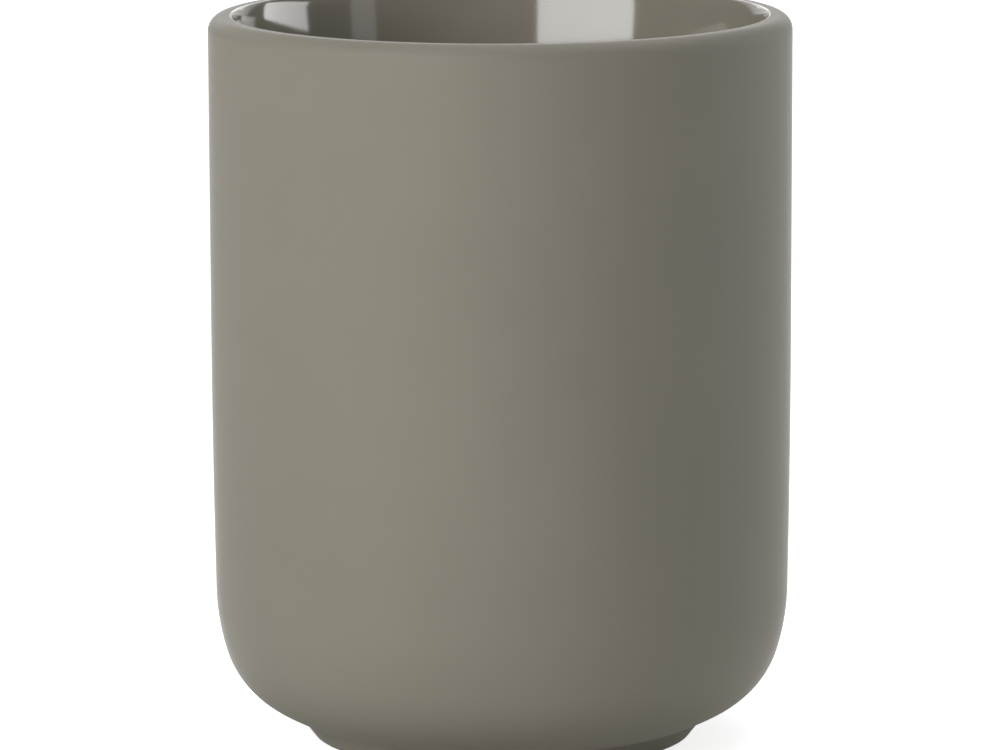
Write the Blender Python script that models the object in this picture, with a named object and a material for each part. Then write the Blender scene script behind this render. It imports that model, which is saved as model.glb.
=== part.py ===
# A toothbrush mug: a slip-cast stoneware cup on a low foot ring, glazed inside and
# under the foot, with a soft matte lacquer over the lip and the whole outside.
# Lengths are in metres and angles in degrees. The mug stands on z = 0 about the Z axis.

from math import acos, ceil, cos, degrees, radians, sin, tau

import bmesh
import bpy

# Overall size of the finished mug
MUG_HEIGHT = 0.103
MUG_RADIUS = 0.041

# Lip, in section: a wide rounding outside, a level land, a tight rounding inside
LIP_OUTER_ROUNDING = 0.00215
LIP_LAND = 0.0009
LIP_INNER_ROUNDING = 0.00035

# Mouth: under the lip the wall thickens in two curves, so that the inside flares up to
# the lip. Each lean is that of the wall where the curve under it starts.
MOUTH_LEAN = 25.0
MOUTH_CURVE_RADIUS = 0.007
THROAT_LEAN = 11.0
THROAT_CURVE_RADIUS = 0.090

# Outside wall under its straight part: the radius of each sweep, and how far from
# upright, towards the axis, the wall leans where that sweep ends
DRAW_IN_RADIUS = 2.07
DRAW_IN_LEAN = 1.05
SHOULDER_RADIUS = 0.0313
SHOULDER_LEAN = 17.2
CORNER_RADIUS = 0.0132
CORNER_LEAN = 60.7
UNDERSIDE_RADIUS = 0.036
UNDERSIDE_LEAN = 67.6

# Foot ring, whose inner flank leans past level, so that it climbs to the recess
FOOT_HEIGHT = 0.0032
FOOT_LEAN = 38.2
FOOT_JOINT_FILLET = 0.0006
FOOT_EDGE_ROUNDING = 0.0006
FOOT_LAND_WIDTH = 0.0024
RECESS_HEIGHT = 0.0026
RECESS_LEAN = 150.0
RECESS_FILLET = 0.0014

# Floor of the cup, from the stoneware of the recess up to the glaze of the inside
FLOOR_THICKNESS = 0.0045
FLOOR_SWEEP_RADIUS = 0.024

# Layers on the stoneware. The lacquer starts on the land of the lip, and its hem ends
# above the table. The glaze of the inside starts at the lip's inner rounding. The
# underside's glaze leaves a bare band above the land of the foot.
COAT_THICKNESS = 0.0003
COAT_HEM_HEIGHT = 0.0004
GLAZE_THICKNESS = 0.0003
FOOT_BARE_BAND = 0.0008
LAYER_GAP = 0.0003

# Headings of an outline, from straight down towards the axis
DOWN = 0.0
TO_AXIS = 90.0
FROM_AXIS = -90.0

# Fineness: segments round the mug, the most that a chord may leave its arc, the
# distance under which points are welded, and the angle that shades as an edge
SEGMENTS = 60
CHORD_ERROR = 0.00006
WELD_DISTANCE = 0.000001
EDGE_ANGLE = 34.0

# Finishes, as linear red, green and blue
LACQUER_COLOUR = (0.275, 0.254, 0.209)
LACQUER_ROUGHNESS = 0.62
GLAZE_COLOUR = (0.205, 0.192, 0.158)
GLAZE_ROUGHNESS = 0.08
STONEWARE_COLOUR = (0.560, 0.512, 0.430)
STONEWARE_ROUGHNESS = 0.85


class Pen:
    # Draws an outline in the plane of radius and height, parallel to the finished
    # surface and a depth under it. Side is 1 along the outside of the mug, where an
    # outline that turns towards the axis bulges, and -1 along the inside, where it
    # hollows.

    def __init__(self, radius, height, heading, depth, side):
        self.heading = heading
        self.offset = side * depth
        self.radius = radius - self.offset * cos(radians(heading))
        self.height = height + self.offset * sin(radians(heading))
        self.points = [(self.radius, self.height)]

    def move(self, radius, height):
        self.radius = radius
        self.height = height
        self.points.append((radius, height))

    def run(self, length):
        across = length * sin(radians(self.heading))
        down = length * cos(radians(self.heading))
        self.move(self.radius - across, self.height - down)

    def run_to_height(self, height):
        self.run((self.height - height) / cos(radians(self.heading)))

    def run_to_axis(self):
        self.move(0, self.height)

    def sweep(self, heading, surface_radius):
        # The count of chords follows the finished surface, so that the outlines of all
        # layers keep parallel chords.
        turn = heading - self.heading
        bulge = 1 if turn > 0 else -1
        reach = bulge * surface_radius - self.offset
        centre_radius = self.radius - reach * cos(radians(self.heading))
        centre_height = self.height + reach * sin(radians(self.heading))
        widest_chord = 2 * degrees(acos(1 - min(1, CHORD_ERROR / surface_radius)))
        chords = ceil(abs(turn) / widest_chord)
        for chord in range(1, chords + 1):
            angle = radians(self.heading + turn * chord / chords)
            self.move(centre_radius + reach * cos(angle), centre_height - reach * sin(angle))
        self.heading = heading


def arc_drop(radius, lean_from, lean_to):
    # The height that an arc covers while its outline turns from one lean to the other
    return radius * abs(sin(radians(lean_to)) - sin(radians(lean_from)))


# Lip and mouth, worked out from the sizes above
rounding_centre_radius = MUG_RADIUS - LIP_OUTER_ROUNDING
land_radius = rounding_centre_radius - LIP_LAND
mouth_radius = land_radius - LIP_INNER_ROUNDING * cos(radians(MOUTH_LEAN))
mouth_height = MUG_HEIGHT - LIP_INNER_ROUNDING * (1 - sin(radians(MOUTH_LEAN)))

# Bore of the cup, and the wall between it and the outside
bore_radius = (
    mouth_radius
    - MOUTH_CURVE_RADIUS * (cos(radians(THROAT_LEAN)) - cos(radians(MOUTH_LEAN)))
    - THROAT_CURVE_RADIUS * (1 - cos(radians(THROAT_LEAN)))
)
wall_thickness = MUG_RADIUS - bore_radius
inner_shoulder_radius = SHOULDER_RADIUS - wall_thickness
inner_corner_radius = CORNER_RADIUS - wall_thickness
inner_underside_radius = UNDERSIDE_RADIUS - wall_thickness

# Heights where the straight walls end, outside and inside
outer_wall_foot = (
    FOOT_HEIGHT
    + arc_drop(UNDERSIDE_RADIUS, UNDERSIDE_LEAN, CORNER_LEAN)
    + arc_drop(CORNER_RADIUS, CORNER_LEAN, SHOULDER_LEAN)
    + arc_drop(SHOULDER_RADIUS, SHOULDER_LEAN, DRAW_IN_LEAN)
    + arc_drop(DRAW_IN_RADIUS, DRAW_IN_LEAN, DOWN)
)
bore_foot = (
    RECESS_HEIGHT
    + FLOOR_THICKNESS
    + arc_drop(FLOOR_SWEEP_RADIUS, TO_AXIS, UNDERSIDE_LEAN)
    + arc_drop(inner_underside_radius, UNDERSIDE_LEAN, CORNER_LEAN)
    + arc_drop(inner_corner_radius, CORNER_LEAN, SHOULDER_LEAN)
    + arc_drop(inner_shoulder_radius, SHOULDER_LEAN, DOWN)
)

# Depths of the stoneware under the finished surfaces
outside_bed = COAT_THICKNESS + LAYER_GAP
inside_bed = max(COAT_THICKNESS, GLAZE_THICKNESS) + LAYER_GAP

# Straight part of the foot's inner flank
flank_height = (
    RECESS_HEIGHT
    - arc_drop(FOOT_EDGE_ROUNDING, TO_AXIS, RECESS_LEAN)
    - arc_drop(RECESS_FILLET, RECESS_LEAN, TO_AXIS)
)
flank_length = flank_height / abs(cos(radians(RECESS_LEAN)))


def draw_outside(start_radius, depth):
    # From a radius on the land of the lip, over its rounding, down the wall, round the
    # corner and onto the foot
    pen = Pen(start_radius, MUG_HEIGHT, FROM_AXIS, depth, 1)
    pen.run(rounding_centre_radius - start_radius)
    pen.sweep(DOWN, LIP_OUTER_ROUNDING)
    pen.run_to_height(outer_wall_foot)
    pen.sweep(DRAW_IN_LEAN, DRAW_IN_RADIUS)
    pen.sweep(SHOULDER_LEAN, SHOULDER_RADIUS)
    pen.sweep(CORNER_LEAN, CORNER_RADIUS)
    pen.sweep(UNDERSIDE_LEAN, UNDERSIDE_RADIUS)
    pen.sweep(FOOT_LEAN, FOOT_JOINT_FILLET)
    return pen


def coat_outline(depth):
    # From the lacquer's edge on the land of the lip down to its hem
    pen = draw_outside(land_radius + LAYER_GAP, depth)
    pen.run_to_height(COAT_HEM_HEIGHT)
    return pen.points


def draw_bore(pen):
    # From the top of the mouth down the bore and over the floor to its middle
    pen.sweep(THROAT_LEAN, MOUTH_CURVE_RADIUS)
    pen.sweep(DOWN, THROAT_CURVE_RADIUS)
    pen.run_to_height(bore_foot)
    pen.sweep(SHOULDER_LEAN, inner_shoulder_radius)
    pen.sweep(CORNER_LEAN, inner_corner_radius)
    pen.sweep(UNDERSIDE_LEAN, inner_underside_radius)
    pen.sweep(TO_AXIS, FLOOR_SWEEP_RADIUS)
    pen.run_to_axis()


def inside_outline(depth):
    # From the land of the lip over its inner rounding and down the inside
    pen = Pen(land_radius, MUG_HEIGHT, TO_AXIS, depth, -1)
    pen.sweep(MOUTH_LEAN, LIP_INNER_ROUNDING)
    draw_bore(pen)
    return pen.points


def inside_bed_outline():
    # The stoneware under the glaze of the inside, cut off level with the stoneware
    # under the land
    pen = Pen(mouth_radius, mouth_height, MOUTH_LEAN, inside_bed, -1)
    draw_bore(pen)
    (radius, height), (next_radius, next_height) = pen.points[:2]
    cut_height = MUG_HEIGHT - outside_bed
    share = (height - cut_height) / (height - next_height)
    return [(radius + (next_radius - radius) * share, cut_height)] + pen.points[1:]


def draw_stoneware_outside():
    # From the inner edge of the stoneware's lip down to the bare land of the foot and
    # the start of its inner flank
    edge_radius, _ = inside_bed_outline()[0]
    pen = draw_outside(edge_radius, outside_bed)
    pen.offset = 0
    pen.run_to_height(arc_drop(FOOT_EDGE_ROUNDING, FOOT_LEAN, TO_AXIS))
    pen.sweep(TO_AXIS, FOOT_EDGE_ROUNDING)
    pen.run(FOOT_LAND_WIDTH)
    pen.sweep(RECESS_LEAN, FOOT_EDGE_ROUNDING)
    return pen


def recess_outline(flank_foot, bare_band, lift):
    # From a bare band up the foot's inner flank to the middle of the recess, a lift
    # away from the stoneware
    start_radius = flank_foot.radius - bare_band * sin(radians(RECESS_LEAN))
    start_height = flank_foot.height - bare_band * cos(radians(RECESS_LEAN))
    pen = Pen(start_radius, start_height, RECESS_LEAN, -lift, 1)
    pen.run(flank_length - bare_band)
    pen.sweep(TO_AXIS, RECESS_FILLET)
    pen.run_to_axis()
    return pen.points


def shell_section(face, back):
    # A layer's section: up its back to its edge, then down its face
    return back[::-1] + face


def stoneware_section():
    outside = draw_stoneware_outside()
    recess = recess_outline(outside, 0, 0)
    return inside_bed_outline()[:0:-1] + outside.points + recess[1:]


def interior_glaze_section():
    return shell_section(inside_outline(0), inside_outline(GLAZE_THICKNESS))


def underside_glaze_section():
    flank_foot = draw_stoneware_outside()
    face = recess_outline(flank_foot, FOOT_BARE_BAND, LAYER_GAP + GLAZE_THICKNESS)
    back = recess_outline(flank_foot, FOOT_BARE_BAND, LAYER_GAP)
    return shell_section(face, back)


def coat_section():
    return shell_section(coat_outline(0), coat_outline(COAT_THICKNESS))


def clear_scene():
    for old in list(bpy.data.objects):
        bpy.data.objects.remove(old)


def finish(name, colour, roughness):
    material = bpy.data.materials.new(name)
    material.use_nodes = True
    shader = material.node_tree.nodes["Principled BSDF"]
    shader.inputs["Base Color"].default_value = (*colour, 1)
    shader.inputs["Roughness"].default_value = roughness
    shader.inputs["Metallic"].default_value = 0
    material.diffuse_color = (*colour, 1)
    return material


def revolve(name, section, material):
    # Turns a section about the Z axis. A section that ends on the axis twice stays
    # open there, and any other is a ring, whose ends are joined.
    form = bmesh.new()
    corners = [form.verts.new((radius, 0, height)) for radius, height in section]
    edges = [form.edges.new(pair) for pair in zip(corners, corners[1:])]
    if section[0][0] > 0:
        edges.append(form.edges.new((corners[-1], corners[0])))
    bmesh.ops.spin(
        form, geom=corners + edges, cent=(0, 0, 0), axis=(0, 0, 1),
        angle=tau, steps=SEGMENTS, use_merge=True, use_duplicate=False,
    )
    bmesh.ops.remove_doubles(form, verts=form.verts, dist=WELD_DISTANCE)
    bmesh.ops.recalc_face_normals(form, faces=form.faces)
    mesh = bpy.data.meshes.new(name)
    form.to_mesh(mesh)
    form.free()
    mesh.shade_smooth()
    mesh.set_sharp_from_angle(angle=radians(EDGE_ANGLE))
    mesh.materials.append(material)
    piece = bpy.data.objects.new(name, mesh)
    bpy.context.scene.collection.objects.link(piece)
    return piece


def main():
    clear_scene()
    stoneware = finish("stoneware", STONEWARE_COLOUR, STONEWARE_ROUGHNESS)
    glaze = finish("gloss_glaze", GLAZE_COLOUR, GLAZE_ROUGHNESS)
    lacquer = finish("soft_touch_lacquer", LACQUER_COLOUR, LACQUER_ROUGHNESS)
    revolve("stoneware_body", stoneware_section(), stoneware)
    revolve("interior_glaze", interior_glaze_section(), glaze)
    revolve("underside_glaze", underside_glaze_section(), glaze)
    revolve("soft_touch_coat", coat_section(), lacquer)


main()
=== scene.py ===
from math import acos, ceil, cos, degrees, pi, radians, sin

import bmesh
import bpy
from mathutils import Matrix, Vector


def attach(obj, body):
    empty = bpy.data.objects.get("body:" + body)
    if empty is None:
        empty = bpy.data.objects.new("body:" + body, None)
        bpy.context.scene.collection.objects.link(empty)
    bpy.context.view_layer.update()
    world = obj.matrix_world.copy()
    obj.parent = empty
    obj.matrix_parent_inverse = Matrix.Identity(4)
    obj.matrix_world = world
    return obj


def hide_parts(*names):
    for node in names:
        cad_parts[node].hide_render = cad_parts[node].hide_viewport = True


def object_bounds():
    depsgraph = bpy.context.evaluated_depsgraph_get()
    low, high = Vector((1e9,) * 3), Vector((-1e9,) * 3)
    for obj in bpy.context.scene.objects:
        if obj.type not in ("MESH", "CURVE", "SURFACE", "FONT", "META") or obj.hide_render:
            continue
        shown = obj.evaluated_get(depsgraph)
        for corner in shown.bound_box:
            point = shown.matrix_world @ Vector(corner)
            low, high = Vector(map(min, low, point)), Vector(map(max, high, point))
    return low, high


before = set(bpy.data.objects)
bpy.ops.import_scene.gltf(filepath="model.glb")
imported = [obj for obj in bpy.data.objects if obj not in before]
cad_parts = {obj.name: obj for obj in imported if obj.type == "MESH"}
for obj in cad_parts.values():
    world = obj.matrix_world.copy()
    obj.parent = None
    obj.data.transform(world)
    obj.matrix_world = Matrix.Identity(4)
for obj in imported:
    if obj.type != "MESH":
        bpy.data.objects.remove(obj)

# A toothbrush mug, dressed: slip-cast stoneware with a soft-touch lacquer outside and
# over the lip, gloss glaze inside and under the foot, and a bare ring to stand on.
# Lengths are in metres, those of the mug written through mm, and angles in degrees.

cadLow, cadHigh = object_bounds()
mm = 0.001

down, toAxis, fromAxis = 0, 90, -90  # headings of an outline, counted towards the axis


class Outline:
    # A section in the plane of radius and height, drawn as runs and arcs. An arc may
    # be asked for at an offset from the finished surface, so layers stay parallel.

    def __init__(self, radius, height, heading, depth=0, side=1):
        self.heading = heading
        self.offset = side * depth
        self.points = []
        self.move(
            radius - self.offset * cos(radians(heading)),
            height + self.offset * sin(radians(heading)),
        )

    def move(self, radius, height):
        self.radius, self.height = radius, height
        self.points.append((radius, height))

    def run(self, length, steps=1):
        startRadius, startHeight = self.radius, self.height
        for step in range(1, steps + 1):
            reach = length * step / steps
            self.move(
                startRadius - reach * sin(radians(self.heading)),
                startHeight - reach * cos(radians(self.heading)),
            )

    def runToHeight(self, height, steps=1):
        self.run((self.height - height) / cos(radians(self.heading)), steps)

    def runToRadius(self, radius, steps=1):
        self.run((self.radius - radius) / sin(radians(self.heading)), steps)

    def arc(self, heading, surfaceRadius):
        turn = heading - self.heading
        bulge = 1 if turn > 0 else -1
        reach = bulge * surfaceRadius - self.offset
        centreRadius = self.radius - reach * cos(radians(self.heading))
        centreHeight = self.height + reach * sin(radians(self.heading))
        widest = 2 * degrees(acos(1 - min(1, turning["chordError"] / surfaceRadius)))
        chords = max(turning["fewestChords"], ceil(abs(turn) / widest))
        for chord in range(1, chords + 1):
            angle = radians(self.heading + turn * chord / chords)
            self.move(centreRadius + reach * cos(angle), centreHeight - reach * sin(angle))
        self.heading = heading


turning = {
    "segments": 240,  # round the mug
    "chordError": 0.004 * mm,
    "fewestChords": 5,
    "wallSteps": 24,  # rows of faces down each straight stretch
    "lipSteps": 3,
    "flankSteps": 6,
    "landSteps": 4,
    "recessSteps": 4,
    "floorSteps": 8,
    "weld": 0.0005 * mm,
    "edgeAngle": 40,  # a sharper corner shades as an edge
}


def turnPiece(name, points, material, nodeName):
    # Turns an outline about the mug's axis. A section that touches the axis is open
    # there, and any other one is closed into a ring.
    mesh = bmesh.new()
    ring = [mesh.verts.new((radius, 0, height)) for radius, height in points]
    edges = [mesh.edges.new(pair) for pair in zip(ring, ring[1:])]
    if points[0][0] > turning["weld"]:
        edges.append(mesh.edges.new((ring[-1], ring[0])))
    bmesh.ops.spin(
        mesh, geom=ring + edges, cent=(0, 0, 0), axis=(0, 0, 1),
        angle=2 * pi, steps=turning["segments"], use_merge=True, use_duplicate=False,
    )
    bmesh.ops.remove_doubles(mesh, verts=mesh.verts, dist=turning["weld"])
    bmesh.ops.recalc_face_normals(mesh, faces=mesh.faces)
    data = bpy.data.meshes.new(name)
    mesh.to_mesh(data)
    mesh.free()
    data.shade_smooth()
    data.set_sharp_from_angle(angle=radians(turning["edgeAngle"]))
    data.materials.append(material)
    piece = bpy.data.objects.new(name, data)
    bpy.context.scene.collection.objects.link(piece)
    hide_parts(nodeName)
    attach(piece, "root")
    print("turned", name, len(data.polygons), "faces")
    return piece


# Sizes of the mug, from the frame and from the real one
mug = {
    "radius": (cadHigh.x - cadLow.x) / 2,
    "height": cadHigh.z,
    "lipOuterRounding": 2.15 * mm,
    "lipLand": 0.9 * mm,
    "lipInnerRounding": 0.35 * mm,
    "mouthLean": 25,
    "mouthCurve": 7 * mm,
    "throatLean": 11,
    "throatCurve": 90 * mm,
    "drawInCurve": 2070 * mm,
    "drawInLean": 1.05,
    "shoulderCurve": 31.3 * mm,
    "shoulderLean": 17.2,
    "cornerCurve": 13.2 * mm,
    "cornerLean": 60.7,
    "undersideCurve": 36 * mm,
    "undersideLean": 67.6,
    "floorCurve": 24 * mm,
    "floorThickness": 4.5 * mm,
    "layerThickness": 0.3 * mm,
    "layerGap": 0.3 * mm,
    "filmSeam": 0.01 * mm,  # between the edges of the lacquer and the glaze
}

foot = {
    "height": 3.2 * mm,
    "lean": 38.2,
    "jointFillet": 0.6 * mm,
    "edgeRounding": 0.6 * mm,
    "landWidth": 2.4 * mm,
    "recessHeight": 2.6 * mm,
    "recessLean": 150,
    "recessFillet": 1.4 * mm,
    "bareBand": 0.8 * mm,
    "hemHeight": 0.4 * mm,
}


def arcDrop(curve, leanFrom, leanTo):
    # The height that an arc covers while the outline turns from one lean to the other
    return curve * abs(sin(radians(leanTo)) - sin(radians(leanFrom)))


# Places worked out from those sizes
roundingCentre = mug["radius"] - mug["lipOuterRounding"]
landRadius = roundingCentre - mug["lipLand"]
mouthRadius = landRadius - mug["lipInnerRounding"] * cos(radians(mug["mouthLean"]))
mouthHeight = mug["height"] - mug["lipInnerRounding"] * (1 - sin(radians(mug["mouthLean"])))
boreRadius = (
    mouthRadius
    - mug["mouthCurve"] * (cos(radians(mug["throatLean"])) - cos(radians(mug["mouthLean"])))
    - mug["throatCurve"] * (1 - cos(radians(mug["throatLean"])))
)
wall = mug["radius"] - boreRadius
bedDepth = mug["layerThickness"] + mug["layerGap"]
wallFoot = (
    foot["height"]
    + arcDrop(mug["undersideCurve"], mug["undersideLean"], mug["cornerLean"])
    + arcDrop(mug["cornerCurve"], mug["cornerLean"], mug["shoulderLean"])
    + arcDrop(mug["shoulderCurve"], mug["shoulderLean"], mug["drawInLean"])
    + arcDrop(mug["drawInCurve"], mug["drawInLean"], down)
)
boreFoot = (
    foot["recessHeight"]
    + mug["floorThickness"]
    + arcDrop(mug["floorCurve"], toAxis, mug["undersideLean"])
    + arcDrop(mug["undersideCurve"] - wall, mug["undersideLean"], mug["cornerLean"])
    + arcDrop(mug["cornerCurve"] - wall, mug["cornerLean"], mug["shoulderLean"])
    + arcDrop(mug["shoulderCurve"] - wall, mug["shoulderLean"], down)
)
flankHeight = (
    foot["recessHeight"]
    - arcDrop(foot["edgeRounding"], toAxis, foot["recessLean"])
    - arcDrop(foot["recessFillet"], foot["recessLean"], toAxis)
)
flankLength = flankHeight / abs(cos(radians(foot["recessLean"])))


def drawOutside(startRadius, depth):
    # From a radius on the land of the lip, over its rounding and down to the foot
    pen = Outline(startRadius, mug["height"], fromAxis, depth)
    pen.run(roundingCentre - startRadius, turning["lipSteps"])
    pen.arc(down, mug["lipOuterRounding"])
    pen.runToHeight(wallFoot, turning["wallSteps"])
    pen.arc(mug["drawInLean"], mug["drawInCurve"])
    pen.arc(mug["shoulderLean"], mug["shoulderCurve"])
    pen.arc(mug["cornerLean"], mug["cornerCurve"])
    pen.arc(mug["undersideLean"], mug["undersideCurve"])
    pen.arc(foot["lean"], foot["jointFillet"])
    return pen


def coatOutline(depth):
    pen = drawOutside(landRadius + mug["filmSeam"], depth)
    pen.runToHeight(foot["hemHeight"], turning["flankSteps"])
    return pen.points


def drawBore(pen):
    # From the top of the mouth down the bore and over the floor to its middle
    pen.arc(mug["throatLean"], mug["mouthCurve"])
    pen.arc(down, mug["throatCurve"])
    pen.runToHeight(boreFoot, turning["wallSteps"])
    pen.arc(mug["shoulderLean"], mug["shoulderCurve"] - wall)
    pen.arc(mug["cornerLean"], mug["cornerCurve"] - wall)
    pen.arc(mug["undersideLean"], mug["undersideCurve"] - wall)
    pen.arc(toAxis, mug["floorCurve"])
    pen.runToRadius(0, turning["floorSteps"])


def insideOutline(depth):
    # From the land of the lip over its inner rounding and down the inside
    pen = Outline(landRadius, mug["height"], toAxis, depth, -1)
    pen.arc(mug["mouthLean"], mug["lipInnerRounding"])
    drawBore(pen)
    return pen.points


def insideBedOutline():
    # The stoneware under the glaze of the inside, cut off level with its own lip
    pen = Outline(mouthRadius, mouthHeight, mug["mouthLean"], bedDepth, -1)
    drawBore(pen)
    cutHeight = mug["height"] - bedDepth
    first = [height < cutHeight for _, height in pen.points].index(True)
    (radius, height), (nextRadius, nextHeight) = pen.points[first - 1:first + 1]
    share = (height - cutHeight) / (height - nextHeight)
    return [(radius + (nextRadius - radius) * share, cutHeight)] + pen.points[first:]


def stonewareOutside():
    # From the inner edge of the stoneware's lip down to the foot's inner flank
    pen = drawOutside(insideBedOutline()[0][0], bedDepth)
    pen.offset = 0
    pen.runToHeight(arcDrop(foot["edgeRounding"], foot["lean"], toAxis), turning["flankSteps"])
    pen.arc(toAxis, foot["edgeRounding"])
    pen.run(foot["landWidth"], turning["landSteps"])
    pen.arc(foot["recessLean"], foot["edgeRounding"])
    return pen


def recessOutline(flankFoot, bareBand, lift):
    lean = radians(foot["recessLean"])
    pen = Outline(
        flankFoot.radius - bareBand * sin(lean), flankFoot.height - bareBand * cos(lean),
        foot["recessLean"], -lift,
    )
    pen.run(flankLength - bareBand, turning["recessSteps"])
    pen.arc(toAxis, foot["recessFillet"])
    pen.runToRadius(0, turning["floorSteps"])
    return pen.points


# Colours and materials
def linear(hexColour):
    # An sRGB hex value as linear red, green, blue and alpha
    channels = [int(hexColour[place:place + 2], 16) / 255 for place in (1, 3, 5)]
    return [c / 12.92 if c <= 0.04045 else ((c + 0.055) / 1.055) ** 2.4 for c in channels] + [1]


def addNode(tree, kind, settings=None, inputs=None, links=None):
    node = tree.nodes.new(kind)
    for name, value in (settings or {}).items():
        setattr(node, name, value)
    for name, value in (inputs or {}).items():
        node.inputs[name].default_value = value
    for name, source in (links or {}).items():
        tree.links.new(source, node.inputs[name])
    return node


def newMaterial(name):
    material = bpy.data.materials.new(name)
    material.use_nodes = True
    material.node_tree.nodes.clear()
    return material, material.node_tree


lacquer = {
    "colour": "#757165",
    "thinColour": "#7e796d",
    "sprayPatch": 26 * mm,
    "sprayDetail": 2,
    "grain": 0.35 * mm,  # the real grain is near 0.05 mm, too fine to show
    "grainDetail": 3,
    "grainHeight": 0.004 * mm,
    "grainSpread": 0.06,  # how much rougher the crests of the grain are
    "dryBelow": 4 * mm,  # under the curve the spray lies thin and dry
    "fullAbove": 14 * mm,
    "dryRoughness": 0.85,
    "fullRoughness": 0.61,
    "ior": 1.5,
    "specular": 0.35,
    "silk": 0.55,  # a faint smoother skin that shows at a low angle
    "silkRoughness": 0.15,
    "silkIor": 1.03,
}


def softTouchLacquer():
    # A matted polyurethane lacquer, sprayed on and cured: a flat, rubbery taupe with a
    # broad, soft highlight and a pale bloom where it turns away from the eye.
    material, tree = newMaterial("softTouchLacquer")
    place = addNode(tree, "ShaderNodeTexCoord")
    spray = addNode(
        tree, "ShaderNodeTexNoise",
        inputs={"Scale": 1 / lacquer["sprayPatch"], "Detail": lacquer["sprayDetail"]},
        links={"Vector": place.outputs["Object"]},
    )
    colour = addNode(
        tree, "ShaderNodeMix", {"data_type": "RGBA"},
        {"A": linear(lacquer["colour"]), "B": linear(lacquer["thinColour"])},
        {"Factor": spray.outputs["Fac"]},
    )
    grain = addNode(
        tree, "ShaderNodeTexNoise",
        inputs={"Scale": 1 / lacquer["grain"], "Detail": lacquer["grainDetail"]},
        links={"Vector": place.outputs["Object"]},
    )
    relief = addNode(
        tree, "ShaderNodeBump", inputs={"Distance": lacquer["grainHeight"], "Strength": 1},
        links={"Height": grain.outputs["Fac"]},
    )
    axes = addNode(tree, "ShaderNodeSeparateXYZ", links={"Vector": place.outputs["Object"]})
    sprayed = addNode(
        tree, "ShaderNodeMapRange", {"interpolation_type": "SMOOTHSTEP"},
        {"From Min": lacquer["dryBelow"], "From Max": lacquer["fullAbove"]},
        {"Value": axes.outputs["Z"]},
    )
    film = addNode(
        tree, "ShaderNodeMath", {"operation": "MULTIPLY"}, {1: lacquer["silk"]},
        {0: sprayed.outputs["Result"]},
    )
    dryness = addNode(
        tree, "ShaderNodeMapRange",
        inputs={"To Min": lacquer["dryRoughness"], "To Max": lacquer["fullRoughness"]},
        links={"Value": sprayed.outputs["Result"]},
    )
    sheenSpread = addNode(
        tree, "ShaderNodeMath", {"operation": "MULTIPLY_ADD"}, {1: lacquer["grainSpread"]},
        {0: grain.outputs["Fac"], 2: dryness.outputs["Result"]},
    )
    surface = addNode(
        tree, "ShaderNodeBsdfPrincipled",
        inputs={
            "IOR": lacquer["ior"],
            "Specular IOR Level": lacquer["specular"],
            "Coat Roughness": lacquer["silkRoughness"],
            "Coat IOR": lacquer["silkIor"],
        },
        links={
            "Base Color": colour.outputs["Result"],
            "Roughness": sheenSpread.outputs["Value"],
            "Coat Weight": film.outputs["Value"],
            "Normal": relief.outputs["Normal"],
        },
    )
    addNode(tree, "ShaderNodeOutputMaterial", links={"Surface": surface.outputs["BSDF"]})
    return material


glaze = {
    "colour": "#7c776a",
    "poolColour": "#757064",
    "wave": 9 * mm,
    "waveDetail": 1,
    "waveHeight": 0.006 * mm,
    "ior": 1.6,
    "roughness": 0.09,
}


def glossGlaze():
    # A tinted glaze fired to glass: a mirror-sharp gloss over the same taupe, which
    # deepens where the glaze has pooled, and ripples very slightly as it flowed.
    material, tree = newMaterial("glossGlaze")
    place = addNode(tree, "ShaderNodeTexCoord")
    flow = addNode(
        tree, "ShaderNodeTexNoise",
        inputs={"Scale": 1 / glaze["wave"], "Detail": glaze["waveDetail"]},
        links={"Vector": place.outputs["Object"]},
    )
    colour = addNode(
        tree, "ShaderNodeMix", {"data_type": "RGBA"},
        {"A": linear(glaze["colour"]), "B": linear(glaze["poolColour"])},
        {"Factor": flow.outputs["Fac"]},
    )
    relief = addNode(
        tree, "ShaderNodeBump", inputs={"Distance": glaze["waveHeight"], "Strength": 1},
        links={"Height": flow.outputs["Fac"]},
    )
    surface = addNode(
        tree, "ShaderNodeBsdfPrincipled",
        inputs={"IOR": glaze["ior"], "Roughness": glaze["roughness"]},
        links={"Base Color": colour.outputs["Result"], "Normal": relief.outputs["Normal"]},
    )
    addNode(tree, "ShaderNodeOutputMaterial", links={"Surface": surface.outputs["BSDF"]})
    return material


stoneware = {
    "colour": "#c6bdae",
    "speckColour": "#a59c8d",
    "grain": 0.45 * mm,  # the real grain is near 0.15 mm, too fine to show
    "grainDetail": 4,
    "grainHeight": 0.02 * mm,
    "ior": 1.5,
    "roughness": 0.85,
}


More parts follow.
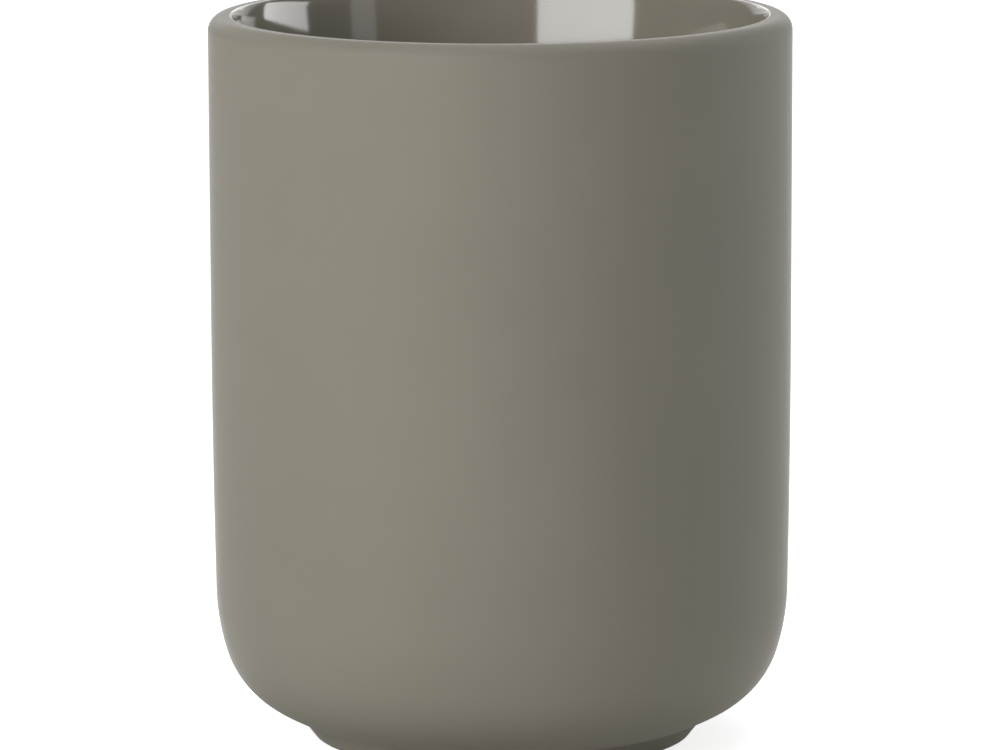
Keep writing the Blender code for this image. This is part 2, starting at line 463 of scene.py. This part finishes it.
def bareStoneware():
    # Fired, unglazed clay with its foot wiped and rubbed smooth: pale, dry and fine
    # grained, with no gloss at all.
    material, tree = newMaterial("bareStoneware")
    place = addNode(tree, "ShaderNodeTexCoord")
    grain = addNode(
        tree, "ShaderNodeTexNoise",
        inputs={"Scale": 1 / stoneware["grain"], "Detail": stoneware["grainDetail"]},
        links={"Vector": place.outputs["Object"]},
    )
    colour = addNode(
        tree, "ShaderNodeMix", {"data_type": "RGBA"},
        {"A": linear(stoneware["colour"]), "B": linear(stoneware["speckColour"])},
        {"Factor": grain.outputs["Fac"]},
    )
    relief = addNode(
        tree, "ShaderNodeBump", inputs={"Distance": stoneware["grainHeight"], "Strength": 1},
        links={"Height": grain.outputs["Fac"]},
    )
    surface = addNode(
        tree, "ShaderNodeBsdfPrincipled",
        inputs={"IOR": stoneware["ior"], "Roughness": stoneware["roughness"]},
        links={"Base Color": colour.outputs["Result"], "Normal": relief.outputs["Normal"]},
    )
    addNode(tree, "ShaderNodeOutputMaterial", links={"Surface": surface.outputs["BSDF"]})
    return material


lacquerFinish = softTouchLacquer()
glazeFinish = glossGlaze()
stonewareFinish = bareStoneware()
print("finishes mixed")

turnPiece(
    "softTouchCoat", coatOutline(mug["layerThickness"])[::-1] + coatOutline(0),
    lacquerFinish, "soft_touch_coat",
)
turnPiece(
    "insideGlaze", insideOutline(mug["layerThickness"])[::-1] + insideOutline(0),
    glazeFinish, "interior_glaze",
)
flankFoot = stonewareOutside()
turnPiece(
    "recessGlaze",
    recessOutline(flankFoot, foot["bareBand"], mug["layerGap"])[::-1]
    + recessOutline(flankFoot, foot["bareBand"], mug["layerGap"] + mug["layerThickness"]),
    glazeFinish, "underside_glaze",
)
turnPiece(
    "stonewareBody",
    insideBedOutline()[:0:-1] + flankFoot.points + recessOutline(flankFoot, 0, 0)[1:],
    stonewareFinish, "stoneware_body",
)


# Studio
table = {
    "radius": 4.0,
    "segments": 96,
    "colour": "#dadad8",
    "glow": 0.76,  # for the camera and reflections, added to the light that falls on it
}


def whiteTable():
    # A pale floor that the camera and reflections see as white, and that keeps the
    # shadow of the mug
    material, tree = newMaterial("whiteTable")
    cloth = addNode(
        tree, "ShaderNodeBsdfDiffuse", inputs={"Color": linear(table["colour"])},
    )
    rays = addNode(tree, "ShaderNodeLightPath")
    cameraOrGloss = addNode(
        tree, "ShaderNodeMath", {"operation": "MAXIMUM"},
        links={0: rays.outputs["Is Camera Ray"], 1: rays.outputs["Is Glossy Ray"]},
    )
    seen = addNode(
        tree, "ShaderNodeMath", {"operation": "MAXIMUM"},
        links={0: cameraOrGloss.outputs["Value"], 1: rays.outputs["Is Transmission Ray"]},
    )
    strength = addNode(
        tree, "ShaderNodeMath", {"operation": "MULTIPLY"}, {1: table["glow"]},
        {0: seen.outputs["Value"]},
    )
    glow = addNode(tree, "ShaderNodeEmission", links={"Strength": strength.outputs["Value"]})
    both = addNode(
        tree, "ShaderNodeAddShader", links={0: cloth.outputs["BSDF"], 1: glow.outputs["Emission"]},
    )
    addNode(tree, "ShaderNodeOutputMaterial", links={"Surface": both.outputs["Shader"]})
    return material


def layTable():
    mesh = bmesh.new()
    bmesh.ops.create_circle(mesh, cap_ends=True, segments=table["segments"], radius=table["radius"])
    data = bpy.data.meshes.new("tableTop")
    mesh.to_mesh(data)
    mesh.free()
    data.materials.append(whiteTable())
    top = bpy.data.objects.new("tableTop", data)
    bpy.context.scene.collection.objects.link(top)


# Softboxes round the mug. Each reaches from one azimuth to another, counted from the
# camera's side to the right. Height is that of its middle, tall is how far it reaches
# up and down, and lean tips it down towards the mug.
lamps = {
    "keySoftbox": {
        "from": -17.2, "to": -64, "distance": 1.0,
        "height": 0.485, "tall": 0.63, "lean": 0, "radiance": 6.9,
    },
    "overheadSoftbox": {
        "from": 100, "to": 170, "distance": 0.3,
        "height": 0.7, "tall": 0.4, "lean": 66, "radiance": 3.2,
    },
    "backPanel": {
        "from": 152, "to": 208, "distance": 1.2,
        "height": 0.4, "tall": 0.28, "lean": 0, "radiance": 1.25,
    },
    "rimSoftbox": {
        "from": 98, "to": 130, "distance": 1.0,
        "height": 0.275, "tall": 0.35, "lean": 0, "radiance": 4.4,
    },
    "rightCard": {
        "from": 59.4, "to": 72.3, "distance": 1.0,
        "height": 0.3, "tall": 0.4, "lean": 0, "radiance": 0.95,
    },
}


def hangLamp(name, lamp):
    ends = [
        lamp["distance"] * Vector((sin(radians(azimuth)), -cos(radians(azimuth)), 0))
        for azimuth in (lamp["from"], lamp["to"])
    ]
    light = bpy.data.lights.new(name, "AREA")
    light.shape = "RECTANGLE"
    light.size = (ends[1] - ends[0]).length
    light.size_y = lamp["tall"]
    light.energy = lamp["radiance"] * pi * light.size * light.size_y  # watts
    box = bpy.data.objects.new(name, light)
    bpy.context.scene.collection.objects.link(box)
    middle = (ends[0] + ends[1]) / 2
    box.location = middle + Vector((0, 0, lamp["height"]))
    upright = middle.to_track_quat("Z", "Y").to_matrix()
    box.rotation_euler = (upright @ Matrix.Rotation(-radians(lamp["lean"]), 3, "X")).to_euler()


# The room: a white backdrop behind the mug, and a dim studio on the camera's side
room = {
    "backdropFacing": (0, 1, 0.7),  # straight behind the mug, and tipped up
    "backdropFrom": 0.85,  # along that direction, where the backdrop fades in
    "backdropFull": 0.93,
    "backdropLight": 0.88,
    "dimLight": 0.16,
    "lightColour": "#edf2fa",  # a touch cool
    "white": "#ffffff",
}


def paintRoom():
    world = bpy.data.worlds.new("studio")
    bpy.context.scene.world = world
    world.use_nodes = True
    tree = world.node_tree
    tree.nodes.clear()
    direction = addNode(tree, "ShaderNodeTexCoord")
    facing = addNode(
        tree, "ShaderNodeVectorMath", {"operation": "DOT_PRODUCT"}, {1: room["backdropFacing"]},
        {0: direction.outputs["Generated"]},
    )
    backdrop = addNode(
        tree, "ShaderNodeMapRange", {"interpolation_type": "SMOOTHSTEP"},
        {"From Min": room["backdropFrom"], "From Max": room["backdropFull"]},
        {"Value": facing.outputs["Value"]},
    )
    strength = addNode(
        tree, "ShaderNodeMapRange",
        inputs={"To Min": room["dimLight"], "To Max": room["backdropLight"]},
        links={"Value": backdrop.outputs["Result"]},
    )
    lit = addNode(
        tree, "ShaderNodeBackground", inputs={"Color": linear(room["lightColour"])},
        links={"Strength": strength.outputs["Result"]},
    )
    white = addNode(
        tree, "ShaderNodeBackground", inputs={"Color": linear(room["white"]), "Strength": 1},
    )
    rays = addNode(tree, "ShaderNodeLightPath")
    mirrored = addNode(
        tree, "ShaderNodeMath", {"operation": "MULTIPLY"},
        links={0: rays.outputs["Is Glossy Ray"], 1: backdrop.outputs["Result"]},
    )
    direct = addNode(
        tree, "ShaderNodeMath", {"operation": "MAXIMUM"},
        links={0: rays.outputs["Is Camera Ray"], 1: rays.outputs["Is Transmission Ray"]},
    )
    seen = addNode(
        tree, "ShaderNodeMath", {"operation": "MAXIMUM"},
        links={0: direct.outputs["Value"], 1: mirrored.outputs["Value"]},
    )
    either = addNode(
        tree, "ShaderNodeMixShader",
        links={
            "Fac": seen.outputs["Value"],
            1: lit.outputs["Background"],
            2: white.outputs["Background"],
        },
    )
    addNode(tree, "ShaderNodeOutputWorld", links={"Surface": either.outputs["Shader"]})


# Camera, as the photograph was taken
view = {
    "distance": 850 * mm,
    "downTilt": 9.638,
    "roll": -0.18,
    "aimSide": -0.185 * mm,
    "aimHeight": 51.517 * mm,
    "focalLength": 215.96,  # mm on a 36 mm sensor
    "sensor": 36,
}


def setCamera():
    data = bpy.data.cameras.new("camera")
    data.lens = view["focalLength"]
    data.sensor_width = view["sensor"]
    camera = bpy.data.objects.new("camera", data)
    bpy.context.scene.collection.objects.link(camera)
    tilt = radians(view["downTilt"])
    camera.location = (
        view["aimSide"], -view["distance"] * cos(tilt),
        view["aimHeight"] + view["distance"] * sin(tilt),
    )
    camera.rotation_euler = (
        Matrix.Rotation(pi / 2 - tilt, 3, "X") @ Matrix.Rotation(radians(view["roll"]), 3, "Z")
    ).to_euler()
    bpy.context.scene.camera = camera


layTable()
for name, lamp in lamps.items():
    hangLamp(name, lamp)
paintRoom()
setCamera()
bpy.context.scene.view_settings.view_transform = "Standard"
print("studio set")
